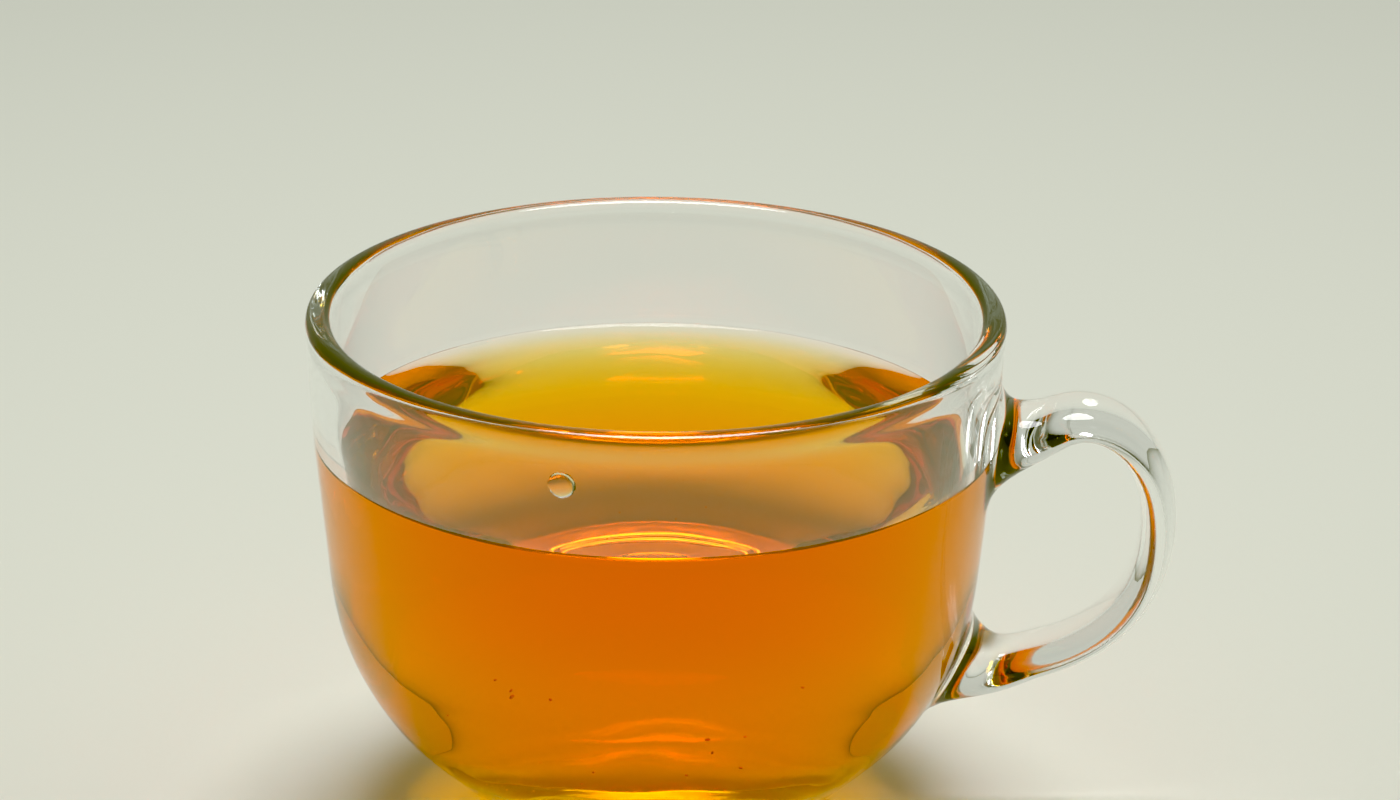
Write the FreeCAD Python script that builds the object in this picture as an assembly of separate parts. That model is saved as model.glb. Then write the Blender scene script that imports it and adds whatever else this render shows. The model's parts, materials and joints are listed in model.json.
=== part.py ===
import FreeCAD, Part
import math
import os

from FreeCAD import Vector

# A clear pressed-glass cup with a bow handle, filled with tea. Millimetres, +Z up.
# The origin is on the table under the middle of the cup, and the handle points to +X.

# the cup
height = 67.5              # table to the top of the rim
upper_radius = 43.9        # outside of the straight neck under the rim
rim_bead = 0.3             # how far the rounded rim stands out from the neck
rim_bead_height = 3.2
wall = 3.0
neck_height = 11.0         # rim top to where the wall starts to draw in
belly_radius = 40.3        # corner that the wall and the bowl's slope would make if they weren't rounded
belly_height = 19.1
foot_radius = 20.0
floor_height = 11.2        # top of the thick glass bottom

# roundings of the cup's outline
rim_round = 1.1
neck_round = 150.0
bowl_round = 34.0
inner_bowl_round = 17.5    # one sweep from the inside of the wall to the floor
foot_round = 0.8
bead_run = 1.6             # height of the rim's widest line below its top, in rim roundings
bead_blend = 2.0           # rounding where the bead meets the neck, in rim roundings
leg_share = 0.98           # two neighbouring roundings leave a sliver of straight line between them
edge_match = 0.01          # how near an edge's limits must be to count as the rim's inner edge

# the hollow under the foot and the round mould mark in its middle
foot_ring_width = 5.0
hollow_height = 1.9
mark_radius = 4.2
mark_depth = 0.5

# the tea
tea_depth_below_rim = 18.0

# the handle: its roots lie this far below the rim top
upper_root_drop = 16.0
lower_root_drop = 46.6
upper_thickness = 5.0      # in the plane of the bow
lower_thickness = 4.1
upper_width = 12.2         # across the bow
lower_width = 10.4
upper_root_spread = 6.8    # extra thickness where the handle flows into the wall
lower_root_spread = 6.6
root_width_spread = 2.0    # extra width there
root_run = 3.6             # how fast the spread fades along the handle
lower_root_tilt = 16.0     # degrees that the lower root points up into the bowl's slope
section_squareness = 2.3   # 2 is an ellipse, more is nearer to a rounded rectangle
section_points = 16
handle_stations = 25

# points of the handle's middle line: out from the neck and down from the upper root,
# then out from the belly and up from the lower root
upper_bow_points = [
    (5.0, -1.3),
    (10.2, -3.1),
    (16.8, 0.0),
    (20.3, 10.6),
]
lower_bow_points = [
    (21.6, 10.3),
    (13.4, 2.6),
    (6.6, 0.0),
]


def unit(vector):
    return Vector(vector).normalize()


def arc_at(corner, before, after, radius, leg_before, leg_after):
    """Start, middle and end of the arc that rounds a corner, within the given legs."""
    toward_before = unit(before - corner)
    toward_after = unit(after - corner)
    half = toward_before.getAngle(toward_after) / 2
    leg = min(radius / math.tan(half), leg_before, leg_after)
    start = corner + toward_before * leg
    end = corner + toward_after * leg
    centre_distance = leg / math.cos(half)
    true_radius = leg * math.tan(half)
    middle = corner + unit(toward_before + toward_after) * (centre_distance - true_radius)
    return start, middle, end


def rounded_edges(corners):
    """Lines and tangent arcs along (radius, height, rounding) corners, from the first to the last."""
    points = [Vector(x, 0, z) for x, z, _ in corners]
    last = len(points) - 1
    edges = []
    here = points[0]
    for i in range(1, last):
        rounding = corners[i][2]
        if rounding == 0:
            edges.append(Part.LineSegment(here, points[i]).toShape())
            here = points[i]
            continue
        # a leg between two rounded corners is shared in proportion to what each of them needs
        legs = []
        for j in (i - 1, i + 1):
            length = points[i].distanceToPoint(points[j])
            need = corner_leg(points, corners, i)
            other = corner_leg(points, corners, j) if 0 < j < last else 0.0
            legs.append(length * need / (need + other) * leg_share)
        start, middle, end = arc_at(points[i], points[i - 1], points[i + 1], rounding, *legs)
        edges.append(Part.LineSegment(here, start).toShape())
        edges.append(Part.Arc(start, middle, end).toShape())
        here = end
    edges.append(Part.LineSegment(here, points[last]).toShape())
    return edges


def corner_leg(points, corners, i):
    """Length of straight that the rounding at corner i uses up on each side."""
    rounding = corners[i][2]
    if rounding == 0:
        return 0.0
    turn = unit(points[i - 1] - points[i]).getAngle(unit(points[i + 1] - points[i]))
    return rounding / math.tan(turn / 2)


def shifted(a, b, distance):
    """The line from a to b moved to its left by distance, as a point and a direction."""
    along = unit(b - a)
    left = Vector(-along.z, 0, along.x)
    return a + left * distance, along


def crossing(line_a, line_b):
    (p, u), (q, v) = line_a, line_b
    cross = u.x * v.z - u.z * v.x
    t = ((q.x - p.x) * v.z - (q.z - p.z) * v.x) / cross
    return p + u * t


def revolved(edges):
    face = Part.Face(Part.Wire(edges))
    return face.revolve(Vector(0, 0, 0), Vector(0, 0, 1), 360)


def outer_corners():
    """Sharp corners of the outside, from the foot up to the neck."""
    return [
        Vector(foot_radius, 0, 0),
        Vector(belly_radius, 0, belly_height),
        Vector(upper_radius, 0, height - neck_height),
        Vector(upper_radius, 0, height),
    ]


def inner_corners():
    """Sharp corners of the inside: floor to side, and side to neck. The side runs one wall inside the outer one."""
    _, belly, neck, rim = outer_corners()
    side = shifted(belly, neck, wall)
    upright = shifted(neck, rim, wall)
    floor = (Vector(0, 0, floor_height), Vector(1, 0, 0))
    return [crossing(floor, side), crossing(side, upright)]


def outside():
    foot, belly, neck, _ = outer_corners()
    ring_inside = foot_radius - foot_ring_width
    hollow_edge = ring_inside - hollow_height
    bead_radius = upper_radius + rim_bead
    bead_bottom = height - rim_bead_height
    corners = [
        (0, hollow_height + mark_depth, 0),
        (mark_radius, hollow_height + mark_depth, 0),
        (mark_radius + mark_depth, hollow_height, 0),
        (hollow_edge, hollow_height, foot_round),
        (ring_inside, 0, foot_round),
        (foot.x, foot.z, foot_round),
        (belly.x, belly.z, bowl_round),
        (neck.x, neck.z, neck_round),
        (upper_radius, bead_bottom, bead_blend * rim_round),
        (bead_radius, height - bead_run * rim_round, rim_round),
        (bead_radius, height, rim_round),
        (0, height, 0),
    ]
    edges = rounded_edges(corners)
    axis = Part.LineSegment(Vector(0, 0, height), Vector(0, 0, hollow_height + mark_depth)).toShape()
    return revolved(edges + [axis])


def cavity():
    """The space inside the cup, carried straight up past the rim."""
    bowl, neck = inner_corners()
    above = height + wall
    corners = [
        (0, bowl.z, 0),
        (bowl.x, bowl.z, inner_bowl_round),
        (neck.x, neck.z, neck_round - wall),
        (neck.x, above, 0),
        (0, above, 0),
    ]
    edges = rounded_edges(corners)
    axis = Part.LineSegment(Vector(0, 0, above), Vector(0, 0, bowl.z)).toShape()
    return revolved(edges + [axis])


def side_radius(z):
    """Radius of the unrounded outside at a height."""
    corners = outer_corners()
    for low, high in zip(corners, corners[1:]):
        if z <= high.z:
            share = max(z - low.z, 0.0) / (high.z - low.z)
            return low.x + (high.x - low.x) * share
    return upper_radius


def handle_line():
    """Spline from the middle of the wall at the upper root round to the lower one."""
    top = height - upper_root_drop
    bottom = height - lower_root_drop
    tilt = math.radians(lower_root_tilt)
    start = Vector(side_radius(top) - wall / 2, 0, top)
    end = Vector(side_radius(bottom) - wall / 2, 0, bottom)
    middle = [Vector(upper_radius + out, 0, top - down) for out, down in upper_bow_points]
    middle += [Vector(belly_radius + out, 0, bottom + up) for out, up in lower_bow_points]
    line = Part.BSplineCurve()
    line.interpolate(
        Points=[start] + middle + [end],
        InitialTangent=Vector(1, 0, 0),
        FinalTangent=Vector(-math.cos(tilt), 0, math.sin(tilt)),
    )
    return line


def section(centre, along, thickness, width):
    """Rounded oval across the handle, thickness in the plane of the bow and width across it."""
    across = Vector(0, 1, 0)
    up = unit(along.cross(across))
    power = 2 / section_squareness
    points = []
    for i in range(section_points):
        angle = 2 * math.pi * i / section_points
        c = math.cos(angle)
        s = math.sin(angle)
        y = width / 2 * math.copysign(abs(c) ** power, c)
        z = thickness / 2 * math.copysign(abs(s) ** power, s)
        points.append(centre + across * y + up * z)
    outline = Part.BSplineCurve()
    outline.interpolate(Points=points, PeriodicFlag=True)
    return Part.Wire(outline.toShape())


def handle():
    """A bow lofted through sections that spread out towards both roots, closest together there."""
    line = handle_line()
    length = line.length()
    sections = []
    for i in range(handle_stations):
        distance = length / 2 * (1 - math.cos(math.pi * i / (handle_stations - 1)))
        parameter = line.parameterAtDistance(distance)
        from_top = math.exp(-max(distance - wall / 2, 0) / root_run)
        from_bottom = math.exp(-max(length - distance - wall / 2, 0) / root_run)
        plain = upper_thickness + (lower_thickness - upper_thickness) * distance / length
        thickness = plain + upper_root_spread * from_top + lower_root_spread * from_bottom
        plain_width = upper_width + (lower_width - upper_width) * distance / length
        width = plain_width + root_width_spread * (from_top + from_bottom)
        centre = line.value(parameter)
        along = unit(line.tangent(parameter)[0])
        sections.append(section(centre, along, thickness, width))
    return Part.makeLoft(sections, True, False)


def rounded_rim(body):
    """Rounds the sharp inner edge that the cavity leaves on top of the rim."""
    inner_radius = inner_corners()[1].x
    edges = [
        edge for edge in body.Edges
        if abs(edge.BoundBox.ZMin - height) < edge_match
        and abs(edge.BoundBox.ZMax - height) < edge_match
        and abs(edge.BoundBox.XMax - inner_radius) < edge_match
    ]
    return body.makeFillet(rim_round, edges)


def glass_cup():
    shell = rounded_rim(outside().cut(cavity()))
    grip = handle().cut(cavity())
    return shell.fuse(grip)


def tea():
    """The drink fills the cavity up to its level."""
    level = height - tea_depth_below_rim
    reach = 2 * upper_radius
    below = Part.makeBox(2 * reach, 2 * reach, level, Vector(-reach, -reach, 0))
    return cavity().common(below)


os.makedirs("parts", exist_ok=True)
for name, shape in (("glass_cup", glass_cup()), ("tea", tea())):
    print(name, "valid", shape.isValid(), "solids", len(shape.Solids), "volume cm3", round(shape.Volume / 1000, 2))
    shape.exportStep(f"parts/{name}.step")
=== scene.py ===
import json
import math
import random

import bmesh
import bpy
from mathutils import Matrix, Vector

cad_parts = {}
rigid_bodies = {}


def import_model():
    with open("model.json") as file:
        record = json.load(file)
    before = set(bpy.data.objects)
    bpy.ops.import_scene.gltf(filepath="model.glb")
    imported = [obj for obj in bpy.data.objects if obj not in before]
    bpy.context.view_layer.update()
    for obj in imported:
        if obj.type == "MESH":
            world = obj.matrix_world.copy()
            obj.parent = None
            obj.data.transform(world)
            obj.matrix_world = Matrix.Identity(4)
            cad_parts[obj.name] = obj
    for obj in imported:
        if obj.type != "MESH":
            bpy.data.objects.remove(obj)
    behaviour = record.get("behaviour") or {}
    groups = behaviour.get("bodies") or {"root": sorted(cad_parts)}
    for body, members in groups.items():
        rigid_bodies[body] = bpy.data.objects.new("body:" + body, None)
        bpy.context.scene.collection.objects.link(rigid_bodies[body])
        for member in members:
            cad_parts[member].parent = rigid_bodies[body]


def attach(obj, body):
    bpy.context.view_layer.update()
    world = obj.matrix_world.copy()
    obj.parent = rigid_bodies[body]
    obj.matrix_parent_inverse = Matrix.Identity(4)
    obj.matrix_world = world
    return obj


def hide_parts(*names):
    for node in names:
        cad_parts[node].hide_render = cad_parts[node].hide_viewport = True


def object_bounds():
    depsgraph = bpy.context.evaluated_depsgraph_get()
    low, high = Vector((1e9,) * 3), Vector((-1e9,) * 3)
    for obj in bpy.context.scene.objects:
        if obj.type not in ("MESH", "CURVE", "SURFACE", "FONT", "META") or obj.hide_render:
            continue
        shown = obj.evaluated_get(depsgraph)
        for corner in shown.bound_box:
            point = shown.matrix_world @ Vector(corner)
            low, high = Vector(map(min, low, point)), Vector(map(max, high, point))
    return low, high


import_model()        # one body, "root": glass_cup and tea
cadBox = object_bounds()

mm = 0.001               # lengths below are in millimetres unless a note says metres


def startFresh():
    if bpy.context.object and bpy.context.object.mode != "OBJECT":
        bpy.ops.object.mode_set(mode="OBJECT")
    bpy.ops.object.select_all(action="DESELECT")


def makeActive(piece):
    startFresh()
    piece.select_set(True)
    bpy.context.view_layer.objects.active = piece


def pickVerts(piece, wanted):
    bpy.ops.mesh.select_mode(type="VERT")
    bpy.ops.mesh.select_all(action="DESELECT")
    cage = bmesh.from_edit_mesh(piece.data)
    for vert in cage.verts:
        vert.select = wanted(vert.co)
    cage.select_flush(True)
    bmesh.update_edit_mesh(piece.data)


def pickFaces(piece, wanted):
    bpy.ops.mesh.select_mode(type="FACE")
    bpy.ops.mesh.select_all(action="DESELECT")
    cage = bmesh.from_edit_mesh(piece.data)
    for face in cage.faces:
        face.select = wanted(face.calc_center_median(), face.normal)
    cage.select_flush(True)
    bmesh.update_edit_mesh(piece.data)


def pickedVerts(piece):
    return [vert for vert in bmesh.from_edit_mesh(piece.data).verts if vert.select]


def azimuthOf(place):
    return math.degrees(math.atan2(place.y, place.x))


def distanceOut(place):
    return math.hypot(place.x, place.y)


def meanDistanceOut(verts):
    return sum(distanceOut(vert.co) for vert in verts) / len(verts)


def bakeModifier(piece, kind, **settings):
    makeActive(piece)
    modifier = piece.modifiers.new(kind.title(), kind)
    for name, value in settings.items():
        setattr(modifier, name, value)
    bpy.ops.object.modifier_apply(modifier=modifier.name)


cupShape = {
    "columns": 48,
    "smoothness": 2,
    # distance from the axis and height of each ring: from the mould mark up the outside, then down the inside
    "outside": [
        (2.8, 2.4), (4.1, 2.4), (4.8, 1.9), (6.8, 1.9), (9.95, 1.9), (12.4, 1.9), (13.45, 1.55),
        (14.55, 0.45), (15.5, 0.0), (17.5, 0.0), (19.25, 0.0), (19.95, 0.22), (20.94, 0.9), (21.89, 1.8),
        (23.17, 3.0), (24.42, 4.17), (27.19, 6.78), (30.07, 9.46), (33.11, 12.43), (35.34, 15.09),
        (38.83, 20.97), (40.67, 26.33), (41.5, 30.92), (41.92, 36.06), (42.39, 40.84), (42.82, 45.34),
        (43.44, 51.46), (43.82, 57.86), (43.9, 61.42), (43.84, 63.74), (44.15, 65.2), (44.2, 66.5),
        (43.9, 67.2), (43.15, 67.5),
    ],
    "inside": [
        (41.95, 67.5), (41.2, 67.2), (40.9, 66.5), (40.9, 64.8), (40.9, 61.62), (40.79, 57.55),
        (40.58, 53.68), (40.25, 49.8), (39.87, 45.91), (39.49, 42.03), (39.12, 38.15), (38.75, 34.26),
        (38.38, 30.48), (37.97, 26.0), (37.69, 24.72), (37.14, 22.8), (36.41, 21.05), (35.48, 19.39),
        (34.39, 17.83), (33.13, 16.4), (31.72, 15.12), (30.19, 14.0), (28.54, 13.05), (26.79, 12.29),
        (24.97, 11.71), (23.17, 11.34), (20.9, 11.18), (20.63, 11.2), (16.5, 11.2), (11.35, 11.2),
        (6.19, 11.2),
    ],
    "floorAbove": 8.0,       # the middle of the inside's floor is higher than this
    "floorWithin": 7.0,      # and nearer to the axis than this
    # the faces of the wall that the handle grows from: how high, how far out, and how much they face +X
    "upperRoot": {"rows": (45.0, 58.2), "beyond": 42.0, "facing": 0.5, "halfWidth": 7.6},
    "lowerRoot": {"rows": (14.8, 26.6), "beyond": 36.0, "facing": 0.3, "halfWidth": 6.9, "within": 41.5},
    # along, up, direction in degrees, half thickness, half width
    "grip": [
        (45.11, 51.73, 8.7, 4.97, 7.22), (47.03, 52.06, 17.3, 3.85, 6.86), (50.27, 53.35, 24.1, 3.06, 6.59),
        (53.27, 54.85, 8.3, 2.79, 6.47), (57.21, 54.36, -21.6, 2.64, 6.38), (60.72, 51.9, -46.6, 2.58, 6.31),
        (63.29, 47.92, -67.7, 2.53, 6.24), (64.28, 43.19, -84.6, 2.49, 6.17), (64.21, 38.11, -96.8, 2.46, 6.1),
        (63.09, 33.22, -111.1, 2.42, 6.03), (60.62, 28.79, -127.4, 2.39, 5.96), (57.02, 25.29, -143.3, 2.37, 5.89),
        (52.54, 22.78, -156.3, 2.39, 5.84), (48.13, 21.38, -160.2, 2.61, 5.85), (44.95, 20.06, -168.9, 3.1, 5.96),
        (42.13, 20.2, -187.5, 4.44, 6.33),
    ],
    "cornerPull": 0.778,     # draws the grip's four corners in, for a rounder section
    "cornerBeyond": (0.9, 0.8),    # what counts as a corner, in shares of the half width and half thickness
}


def pullRings(shape):
    columns = shape["columns"]
    swell = 3 / (2 + math.cos(2 * math.pi / columns))     # the smoothed surface shrinks by this much
    rings = [(r * swell * mm, z * mm) for r, z in shape["outside"] + shape["inside"]]
    startFresh()
    bpy.ops.mesh.primitive_circle_add(
        vertices=columns, radius=rings[0][0], fill_type="NGON", location=(0, 0, rings[0][1])
    )
    bpy.ops.object.transform_apply(location=True, rotation=True, scale=True)
    piece = bpy.context.object
    bpy.ops.object.mode_set(mode="EDIT")
    bpy.ops.mesh.select_mode(type="FACE")
    bpy.ops.mesh.select_all(action="SELECT")
    for (r0, z0), (r1, z1) in zip(rings, rings[1:]):
        bpy.ops.mesh.extrude_region_move(TRANSFORM_OT_translate={"value": (0, 0, z1 - z0)})
        bpy.ops.transform.resize(value=(r1 / r0, r1 / r0, 1), center_override=(0, 0, z1))
    bpy.ops.mesh.select_all(action="SELECT")
    bpy.ops.mesh.normals_make_consistent(inside=False)
    return piece


def onRoot(place, root, reach):
    low, high = root["rows"]
    outside = distanceOut(place) > root["beyond"] * mm
    return outside and low * mm < place.z < high * mm and abs(azimuthOf(place)) < reach


def widenRoot(piece, root, step):
    inner, outer = step * 0.5, step * 1.5        # between these lies one column, on each side of +X
    for side in (-1, 1):
        pickVerts(piece, lambda co: onRoot(co, root, outer) and side * azimuthOf(co) > inner)
        radius = meanDistanceOut(pickedVerts(piece))
        turn = math.asin(root["halfWidth"] * mm / radius) - math.radians(step)
        bpy.ops.transform.rotate(value=-side * turn, orient_axis="Z", center_override=(0, 0, 0))


def roundCorners(piece, centre, shape):
    cage = bmesh.from_edit_mesh(piece.data)
    chosen = [face.index for face in cage.faces if face.select]
    wide = max(v.co.y for v in cage.verts if v.select)
    tall = max(v.co.z for v in cage.verts if v.select) - centre.z
    wideShare, tallShare = shape["cornerBeyond"]
    corners = [
        v.index for v in cage.verts
        if v.select and abs(v.co.y) > wide * wideShare and abs(v.co.z - centre.z) > tall * tallShare
    ]
    bpy.ops.mesh.select_mode(type="VERT")
    bpy.ops.mesh.select_all(action="DESELECT")
    cage.verts.ensure_lookup_table()
    for i in corners:
        cage.verts[i].select = True
    bmesh.update_edit_mesh(piece.data)
    bpy.ops.transform.resize(value=(1, shape["cornerPull"], shape["cornerPull"]), center_override=centre)
    bpy.ops.mesh.select_mode(type="FACE")
    bpy.ops.mesh.select_all(action="DESELECT")
    cage = bmesh.from_edit_mesh(piece.data)
    cage.faces.ensure_lookup_table()
    for i in chosen:
        cage.faces[i].select = True
    bmesh.update_edit_mesh(piece.data)


def joinLowerRoot(piece, root, step):
    def isLandingPlace(co, normal):
        return onRoot(co, root, step) and normal.x > root["facing"] and co.x < root["within"] * mm

    pickFaces(piece, isLandingPlace)
    bpy.ops.mesh.delete(type="FACE")
    bpy.ops.mesh.select_mode(type="EDGE")
    bpy.ops.mesh.select_all(action="DESELECT")
    bpy.ops.mesh.select_non_manifold(
        extend=False, use_wire=True, use_boundary=True,
        use_multi_face=False, use_non_contiguous=False, use_verts=False,
    )
    bpy.ops.mesh.bridge_edge_loops()


def pullHandle(piece, shape):
    step = 360 / shape["columns"]
    upper, lower = shape["upperRoot"], shape["lowerRoot"]
    widenRoot(piece, upper, step)
    widenRoot(piece, lower, step)
    pickFaces(piece, lambda co, normal: onRoot(co, upper, step) and normal.x > upper["facing"])
    start = [vert.co.copy() for vert in pickedVerts(piece)]
    middle = sum(start, Vector()) / len(start)
    halfThick = (max(v.z for v in start) - min(v.z for v in start)) / 2
    halfWide = (max(v.y for v in start) - min(v.y for v in start)) / 2
    turned = 0.0
    for along, up, heading, thick, wide in shape["grip"]:
        centre = Vector((along * mm, 0, up * mm))
        bpy.ops.mesh.extrude_region_move(TRANSFORM_OT_translate={"value": centre - middle})
        squeeze, widen = thick * mm / halfThick, wide * mm / halfWide
        if turned == 0.0:                    # the first one is flattened, because it leaves a round wall
            bpy.ops.transform.resize(value=(0, widen, squeeze), center_override=centre)
            roundCorners(piece, centre, shape)
        else:
            bpy.ops.transform.resize(value=(squeeze, widen, squeeze), center_override=centre)
        bpy.ops.transform.rotate(value=math.radians(heading - turned), orient_axis="Y", center_override=centre)
        middle, halfThick, halfWide, turned = centre, thick * mm, wide * mm, heading
    bpy.ops.mesh.delete(type="FACE")         # opens the bow's end, which meets the lower root
    joinLowerRoot(piece, lower, step)


def makeCup(shape):
    piece = pullRings(shape)
    piece.name = "cup_glass"
    piece.data.name = "cup_glass"
    pullHandle(piece, shape)
    bpy.ops.mesh.select_all(action="SELECT")
    bpy.ops.mesh.normals_make_consistent(inside=False)
    bpy.ops.object.mode_set(mode="OBJECT")
    bakeModifier(piece, "SUBSURF", levels=shape["smoothness"], render_levels=shape["smoothness"])
    bpy.ops.object.shade_smooth()
    print("cup:", len(piece.data.polygons), "faces")
    return piece


cup = makeCup(cupShape)


teaShape = {
    "contact": 50.9,         # where it climbs the glass
    "intoWall": 0.18,        # so that no air shows between drink and glass
    "edgeIntoWall": 0.03,    # thinner at the contact line, so that no step shows there
    # distance from the wall, height
    "meniscus": [
        (0.32, 50.66), (0.75, 50.4), (1.35, 50.15), (2.2, 49.93), (3.3, 49.75), (4.8, 49.61), (6.8, 49.53),
        (9.5, 49.5), (13.0, 49.5), (16.5, 49.5),
    ],
    "spareWall": 2.0,        # copied above the contact line before it is cut off there
    "edgeBand": 0.02,        # the edge is all that lies no lower than this below the contact line
    "topBand": 0.2,          # and the top, no lower than this below the level
    "frontClimb": 0.22,      # the edge itself stands a little higher in front
    "frontFrom": -36.0,
    "frontFade": 60.0,
    "backClimb": 0.7,        # it all climbs less at the back
    "backFrom": 34.0,
    "backFade": 40.0,
    "dryFrom": 0.3,          # the top of the drink is dry from this far inside the edge
    "levelSlack": 0.01,
    "crease": 30.0,          # keeps the contact line crisp
}


def growFromFloor(piece, height):
    def isFloor(co, normal):
        return co.z > cupShape["floorAbove"] * mm and distanceOut(co) < cupShape["floorWithin"] * mm

    pickFaces(piece, isFloor)
    top = 0
    while top < height:                      # from the middle of the floor up the wall
        bpy.ops.mesh.select_more()
        top = max(vert.co.z for vert in pickedVerts(piece))


def markWetted(piece, contact):
    bpy.ops.object.mode_set(mode="EDIT")
    growFromFloor(piece, contact)
    bpy.ops.object.mode_set(mode="OBJECT")
    wetted = piece.data.attributes.new("wetted", "FLOAT", "POINT")
    for vert in piece.data.vertices:
        wetted.data[vert.index].value = 1.0 if vert.select and vert.co.z < contact else 0.0


def hideBelow(piece, height):
    pickVerts(piece, lambda co: co.z < height)
    bpy.ops.mesh.hide(unselected=False)


def raiseFrontEdge(piece, shape):
    hideBelow(piece, (shape["contact"] - shape["edgeBand"]) * mm)
    pickVerts(piece, lambda co: co.y < shape["frontFrom"] * mm)
    bpy.ops.transform.translate(
        value=(0, 0, shape["frontClimb"] * mm), use_proportional_edit=True,
        proportional_edit_falloff="SMOOTH", proportional_size=shape["frontFade"] * mm,
    )
    bpy.ops.mesh.reveal(select=False)


def lowerBackEdge(piece, shape):
    level = shape["meniscus"][-1][1]
    hideBelow(piece, (level - shape["topBand"]) * mm)
    pickVerts(piece, lambda co: co.y > shape["backFrom"] * mm)
    bpy.ops.transform.resize(
        value=(1, 1, shape["backClimb"]), center_override=(0, 0, level * mm), use_proportional_edit=True,
        proportional_edit_falloff="SMOOTH", proportional_size=shape["backFade"] * mm,
    )
    bpy.ops.mesh.reveal(select=False)


def pullMeniscus(piece, shape):
    bpy.ops.mesh.select_mode(type="EDGE")
    bpy.ops.mesh.select_all(action="DESELECT")
    cage = bmesh.from_edit_mesh(piece.data)
    for edge in cage.edges:
        edge.select = edge.is_boundary
    bmesh.update_edit_mesh(piece.data)
    contact = shape["contact"] * mm
    radius = meanDistanceOut(pickedVerts(piece))
    slimmer = 1 - (shape["intoWall"] - shape["edgeIntoWall"]) * mm / radius
    bpy.ops.transform.resize(value=(slimmer, slimmer, 1), center_override=(0, 0, contact))
    radius *= slimmer
    here = (radius, contact)
    for inset, level in shape["meniscus"]:
        there = (radius - (shape["edgeIntoWall"] + inset) * mm, level * mm)
        bpy.ops.mesh.extrude_region_move(TRANSFORM_OT_translate={"value": (0, 0, there[1] - here[1])})
        scale = there[0] / here[0]
        bpy.ops.transform.resize(value=(scale, scale, 1), center_override=(0, 0, there[1]))
        here = there
    bpy.ops.mesh.edge_face_add()
    return radius


def pourTea(cup, shape):
    makeActive(cup)
    bpy.ops.object.duplicate()
    piece = bpy.context.object
    piece.name = "tea_drink"
    piece.data.name = "tea_drink"
    contact = shape["contact"] * mm
    bpy.ops.object.mode_set(mode="EDIT")
    growFromFloor(piece, contact + shape["spareWall"] * mm)
    bpy.ops.mesh.select_all(action="INVERT")
    bpy.ops.mesh.delete(type="FACE")
    bpy.ops.mesh.select_all(action="SELECT")
    bpy.ops.mesh.flip_normals()
    bpy.ops.transform.shrink_fatten(value=shape["intoWall"] * mm)
    bpy.ops.mesh.bisect(plane_co=(0, 0, contact), plane_no=(0, 0, 1), clear_outer=True)
    radius = pullMeniscus(piece, shape)
    raiseFrontEdge(piece, shape)
    lowerBackEdge(piece, shape)
    bpy.ops.mesh.select_all(action="SELECT")
    bpy.ops.mesh.normals_make_consistent(inside=False)
    bpy.ops.object.mode_set(mode="OBJECT")
    wetted = piece.data.attributes["wetted"]
    dryAbove = (shape["meniscus"][-1][1] - shape["levelSlack"]) * mm
    dryWithin = radius - shape["dryFrom"] * mm
    for vert in piece.data.vertices:
        dry = vert.co.z > dryAbove and distanceOut(vert.co) < dryWithin
        wetted.data[vert.index].value = 0.0 if dry else 1.0
    print("tea:", len(piece.data.polygons), "faces")
    return piece


markWetted(cup, teaShape["contact"] * mm)
tea = pourTea(cup, teaShape)


dropShape = {
    "azimuth": -101.6,       # on the inside of the front wall, left of the middle
    "height": 60.0,
    "wallRadius": 40.87,
    "halfWidth": 1.6,
    "ballRadius": 2.15,      # the drop is a cap of this ball
    "intoWall": 0.06,
    "backSlack": 0.02,       # the flat back is within this of where the ball was cut
    "crease": 40.0,
}


def addDrop(tea, shape):
    sunk = math.sqrt(shape["ballRadius"] ** 2 - shape["halfWidth"] ** 2) * mm
    startFresh()
    bpy.ops.mesh.primitive_uv_sphere_add(segments=48, ring_count=32, radius=shape["ballRadius"] * mm)
    drop = bpy.context.object
    bpy.ops.object.mode_set(mode="EDIT")
    bpy.ops.transform.translate(value=(0, -sunk, 0))
    bpy.ops.mesh.bisect(
        plane_co=(0, -shape["intoWall"] * mm, 0), plane_no=(0, -1, 0), clear_outer=True, use_fill=True
    )
    bpy.ops.object.mode_set(mode="OBJECT")
    wetted = drop.data.attributes.new("wetted", "FLOAT", "POINT")
    flatBack = (shape["backSlack"] - shape["intoWall"]) * mm
    for vert in drop.data.vertices:
        wetted.data[vert.index].value = 1.0 if vert.co.y < flatBack else 0.0
    bpy.ops.object.shade_smooth_by_angle(angle=math.radians(shape["crease"]))
    inward = math.radians(shape["azimuth"])
    drop.rotation_euler = (0, 0, inward + math.pi / 2)
    drop.location = (
        shape["wallRadius"] * mm * math.cos(inward),
        shape["wallRadius"] * mm * math.sin(inward),
        shape["height"] * mm,
    )
    bpy.ops.object.transform_apply(location=True, rotation=True, scale=True)
    makeActive(tea)
    drop.select_set(True)
    bpy.ops.object.join()
    print("drop on the wall")


addDrop(tea, dropShape)
makeActive(tea)
bpy.ops.object.shade_smooth_by_angle(angle=math.radians(teaShape["crease"]))


dustShape = {
    "count": 80,
    "seed": 7,
    "size": (0.06, 0.14),    # from the finest to the coarsest grain
    "spread": 30.0,          # how far out from the middle of the cup's bottom
    "thinMiddle": 0.02,      # share of the spread's area that stays bare in the middle
    "flatFloor": 20.6,       # the floor is flat out to here, and then sweeps up into the wall
    "floorHeight": 11.2,
    "bowlRound": 17.5,
    "liftShare": 0.8,        # a grain's middle lies this share of its size above the floor
    "liftMore": 0.05,        # and this much more
    "stretch": (0.7, 1.6),
    "flatten": (0.5, 0.9),
    "roughen": 0.25,
}


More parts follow.
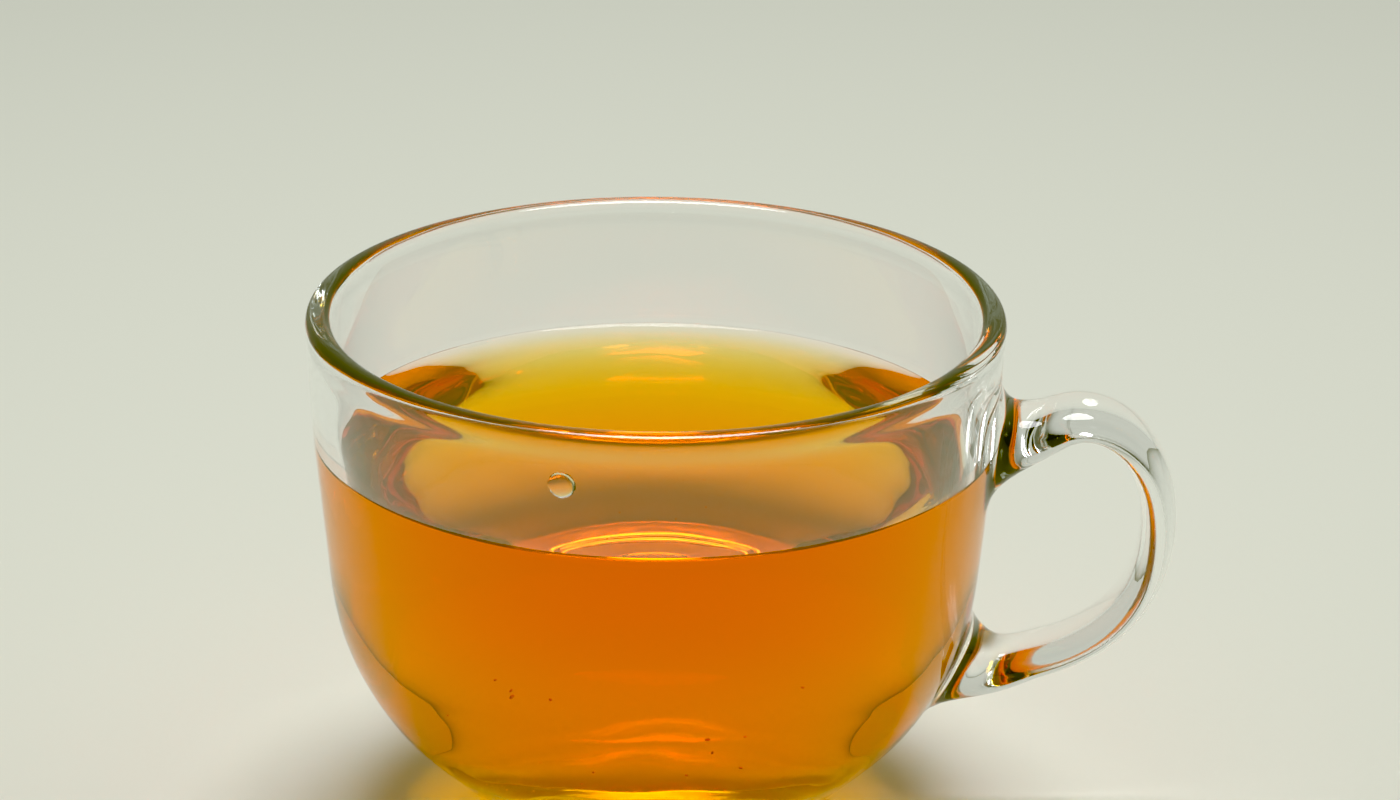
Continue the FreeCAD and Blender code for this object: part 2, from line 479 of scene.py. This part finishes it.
def settleDust(shape):
    random.seed(shape["seed"])
    grains = []
    for number in range(shape["count"]):
        size = random.uniform(*shape["size"])
        out = shape["spread"] * math.sqrt(random.uniform(shape["thinMiddle"], 1))
        azimuth = math.radians(random.uniform(-180, 180))
        lift = size * shape["liftShare"] + shape["liftMore"]
        beyond = max(out - shape["flatFloor"], 0)
        rise = shape["bowlRound"] - math.sqrt(shape["bowlRound"] ** 2 - beyond ** 2)
        height = shape["floorHeight"] + rise + lift
        startFresh()
        bpy.ops.mesh.primitive_ico_sphere_add(subdivisions=1, radius=size * mm)
        grain = bpy.context.object
        bpy.ops.object.mode_set(mode="EDIT")
        bpy.ops.transform.resize(value=(
            random.uniform(*shape["stretch"]), random.uniform(*shape["stretch"]), random.uniform(*shape["flatten"])
        ))
        bpy.ops.transform.vertex_random(offset=size * shape["roughen"] * mm, seed=number)
        bpy.ops.transform.translate(value=(
            out * math.cos(azimuth) * mm, out * math.sin(azimuth) * mm, height * mm
        ))
        bpy.ops.object.mode_set(mode="OBJECT")
        grains.append(grain)
    makeActive(grains[0])
    for grain in grains:
        grain.select_set(True)
    bpy.ops.object.join()
    dust = bpy.context.object
    dust.name = "tea_dust"
    dust.data.name = "tea_dust"
    bpy.ops.object.transform_apply(location=True, rotation=True, scale=True)
    print("dust:", len(grains), "grains")
    return dust


dust = settleDust(dustShape)


def newMaterial(name):
    material = bpy.data.materials.new(name)
    material.use_nodes = True
    nodes, links = material.node_tree.nodes, material.node_tree.links
    return material, nodes, links, nodes["Principled BSDF"], nodes["Material Output"]


def mixColours(nodes, first, second):
    mix = nodes.new("ShaderNodeMix")
    mix.data_type = "RGBA"
    mix.inputs[6].default_value = (*first, 1)        # the colour sockets A and B
    mix.inputs[7].default_value = (*second, 1)
    return mix.inputs[0], mix.outputs[2]             # how much of B, and the mixed colour


def makeClear(shader, look):
    shader.inputs["Base Color"].default_value = (1, 1, 1, 1)
    shader.inputs["Roughness"].default_value = look["roughness"]
    shader.inputs["IOR"].default_value = look["ior"]
    shader.inputs["Transmission Weight"].default_value = 1


def absorbInside(nodes, links, output, look):
    inside = nodes.new("ShaderNodeVolumeAbsorption")
    inside.inputs["Density"].default_value = look["density"]
    inside.inputs["Color"].default_value = (*look["colour"], 1)
    links.new(inside.outputs["Volume"], output.inputs["Volume"])


def quietWhereWet(nodes, links, shader):
    wetted = nodes.new("ShaderNodeAttribute")        # glass and tea hardly reflect where they touch
    wetted.attribute_name = "wetted"
    share, colour = mixColours(nodes, (1, 1, 1), (0, 0, 0))
    links.new(wetted.outputs["Fac"], share)
    links.new(colour, shader.inputs["Specular Tint"])


glassLook = {
    "ior": 1.52,
    "roughness": 0.0,
    "density": 6.0,
    "colour": (0.85, 0.95, 0.9),
    "waveScale": 70.0,       # the faint unevenness of pressed glass
    "waveDetail": 1.0,
    "waveDepth": 0.02,
    "waveReach": 0.01,
}


def clearGlass(look):
    material, nodes, links, shader, output = newMaterial("clear_pressed_glass")
    makeClear(shader, look)
    coordinates = nodes.new("ShaderNodeTexCoord")
    waves = nodes.new("ShaderNodeTexNoise")
    waves.inputs["Scale"].default_value = look["waveScale"]
    waves.inputs["Detail"].default_value = look["waveDetail"]
    links.new(coordinates.outputs["Object"], waves.inputs["Vector"])
    bump = nodes.new("ShaderNodeBump")
    bump.inputs["Strength"].default_value = look["waveDepth"]
    bump.inputs["Distance"].default_value = look["waveReach"]
    links.new(waves.outputs["Fac"], bump.inputs["Height"])
    links.new(bump.outputs["Normal"], shader.inputs["Normal"])
    quietWhereWet(nodes, links, shader)
    absorbInside(nodes, links, output, look)
    return material


teaLook = {"ior": 1.333, "roughness": 0.0, "density": 160.0, "colour": (0.9965, 0.852, 0.05)}


def clearTea(look):
    material, nodes, links, shader, output = newMaterial("clear_tea")
    makeClear(shader, look)
    quietWhereWet(nodes, links, shader)
    absorbInside(nodes, links, output, look)
    return material


dustLook = {"wet": (0.75, 0.24, 0.03), "dry": (0.9, 0.42, 0.08), "grainScale": 2500.0, "roughness": 0.6}


def teaLeaf(look):
    material, nodes, links, shader, output = newMaterial("tea_leaf_dust")
    coordinates = nodes.new("ShaderNodeTexCoord")
    grain = nodes.new("ShaderNodeTexNoise")
    grain.inputs["Scale"].default_value = look["grainScale"]
    links.new(coordinates.outputs["Object"], grain.inputs["Vector"])
    share, colour = mixColours(nodes, look["wet"], look["dry"])
    links.new(grain.outputs["Fac"], share)
    links.new(colour, shader.inputs["Base Color"])
    shader.inputs["Roughness"].default_value = look["roughness"]
    return material


def dress(piece, material):
    piece.data.materials.clear()
    piece.data.materials.append(material)


dress(cup, clearGlass(glassLook))
dress(tea, clearTea(teaLook))
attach(cup, "root")
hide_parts("glass_cup")
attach(tea, "root")
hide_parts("tea")
dress(dust, teaLeaf(dustLook))
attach(dust, "root")
print("materials on")


studio = {                                # places and sizes in metres
    "floorRadius": 3.0,
    "floorColour": (0.80, 0.81, 0.72),
    "floorPaintedFalloff": (0.58, 0.593, 0.525),     # painted shade: what the floor darkens to away from the middle, in place of the lamp's light falling off with distance
    "paintedFalloffAcross": 0.45,
    "floorRoughness": 0.8,
    "floorSpecular": 0.2,
    "boxSize": 0.6,
    "boxPlace": (0.0, 0.3, 1.1),
    "boxAim": (0.0, 0.0, 0.03),
    "boxPower": 8.5,
    "worldPale": (0.56, 0.58, 0.50),      # behind the cup
    "worldDark": (0.10, 0.11, 0.10),      # in front of it
    "worldFade": (0.35, 0.75),            # where the one turns into the other, from front to back
}


def makeFloor(look):
    startFresh()
    bpy.ops.mesh.primitive_circle_add(vertices=96, radius=look["floorRadius"], fill_type="NGON")
    floor = bpy.context.object
    floor.name = "floor"
    material, nodes, links, shader, output = newMaterial("pale_table")
    coordinates = nodes.new("ShaderNodeTexCoord")
    # painted shade: the floor's colour darkens with distance from the middle, standing in for the lamp's light
    # falling off
    reach = nodes.new("ShaderNodeVectorMath")
    reach.operation = "LENGTH"
    links.new(coordinates.outputs["Object"], reach.inputs[0])
    paintedFalloff = nodes.new("ShaderNodeMapRange")
    paintedFalloff.inputs["From Max"].default_value = look["paintedFalloffAcross"]
    links.new(reach.outputs["Value"], paintedFalloff.inputs["Value"])
    share, colour = mixColours(nodes, look["floorColour"], look["floorPaintedFalloff"])
    links.new(paintedFalloff.outputs["Result"], share)
    links.new(colour, shader.inputs["Base Color"])
    shader.inputs["Roughness"].default_value = look["floorRoughness"]
    shader.inputs["Specular IOR Level"].default_value = look["floorSpecular"]
    dress(floor, material)


def makeLight(look):
    bpy.ops.object.light_add(type="AREA", location=look["boxPlace"])
    box = bpy.context.object
    box.name = "softbox"
    box.data.shape = "DISK"
    box.data.size = look["boxSize"]
    box.data.energy = look["boxPower"]
    aim = Vector(look["boxAim"]) - Vector(look["boxPlace"])
    box.rotation_euler = aim.to_track_quat("-Z", "Y").to_euler()


def makeWorld(look):
    world = bpy.data.worlds.new("studio")
    bpy.context.scene.world = world
    world.use_nodes = True
    nodes, links = world.node_tree.nodes, world.node_tree.links
    coordinates = nodes.new("ShaderNodeTexCoord")
    split = nodes.new("ShaderNodeSeparateXYZ")
    links.new(coordinates.outputs["Generated"], split.inputs["Vector"])
    ramp = nodes.new("ShaderNodeValToRGB")
    ramp.color_ramp.interpolation = "EASE"
    ends = zip(ramp.color_ramp.elements, look["worldFade"], (look["worldDark"], look["worldPale"]))
    for end, place, colour in ends:
        end.position = place
        end.color = (*colour, 1)
    half = nodes.new("ShaderNodeMath")        # from -1 to 1 becomes from 0 to 1
    half.operation = "MULTIPLY_ADD"
    half.inputs[1].default_value = 0.5
    half.inputs[2].default_value = 0.5
    links.new(split.outputs["Y"], half.inputs[0])
    links.new(half.outputs["Value"], ramp.inputs["Fac"])
    links.new(ramp.outputs["Color"], nodes["Background"].inputs["Color"])


cameraView = {
    "distance": 600.0,       # from the middle of the rim
    "swing": 3.7,            # degrees round towards the handle
    "height": 20.277,        # degrees up from the rim's plane
    "down": 1.104,           # degrees that it looks below the middle of the rim
    "sideways": 0.573,       # and beside it
    "roll": 0.65,
    "lens": 122.45,
    "sensor": 36.0,
    "nearest": 0.01,         # metres
}


def makeCamera(look):
    rimCentre = Vector((0, 0, cadBox[1].z))
    lift = math.radians(look["height"])
    swing = math.radians(look["swing"])
    back = Vector((math.sin(swing) * math.cos(lift), -math.cos(swing) * math.cos(lift), math.sin(lift)))
    turn = (
        Matrix.Rotation(swing - math.radians(look["sideways"]), 3, "Z")
        @ Matrix.Rotation(math.radians(90 - look["height"] - look["down"]), 3, "X")
        @ Matrix.Rotation(math.radians(look["roll"]), 3, "Z")
    )
    bpy.ops.object.camera_add(location=rimCentre + back * look["distance"] * mm, rotation=turn.to_euler())
    camera = bpy.context.object
    camera.data.lens = look["lens"]
    camera.data.sensor_width = look["sensor"]
    camera.data.clip_start = look["nearest"]
    bpy.context.scene.camera = camera


picture = {
    "blueCurve": ((0.065, 0.001), (0.2, 0.16), (0.45, 0.45)),     # takes the last blue out of deep amber
    "bounces": 32,
    "clearBounces": 28,      # through glass and tea
    "glossBounces": 12,
}


def setPicture(look):
    scene = bpy.context.scene
    scene.view_settings.view_transform = "Standard"
    scene.view_settings.use_curve_mapping = True
    mapping = scene.view_settings.curve_mapping
    blue = mapping.curves[2]
    for before, after in look["blueCurve"]:
        blue.points.new(before, after)
    for point in blue.points:
        point.handle_type = "VECTOR"
    mapping.update()
    scene.cycles.max_bounces = look["bounces"]
    scene.cycles.transmission_bounces = look["clearBounces"]
    scene.cycles.glossy_bounces = look["glossBounces"]
    scene.cycles.volume_bounces = 0
    scene.cycles.blur_glossy = 0


makeFloor(studio)
makeLight(studio)
makeWorld(studio)
makeCamera(cameraView)
setPicture(picture)
print("studio ready")
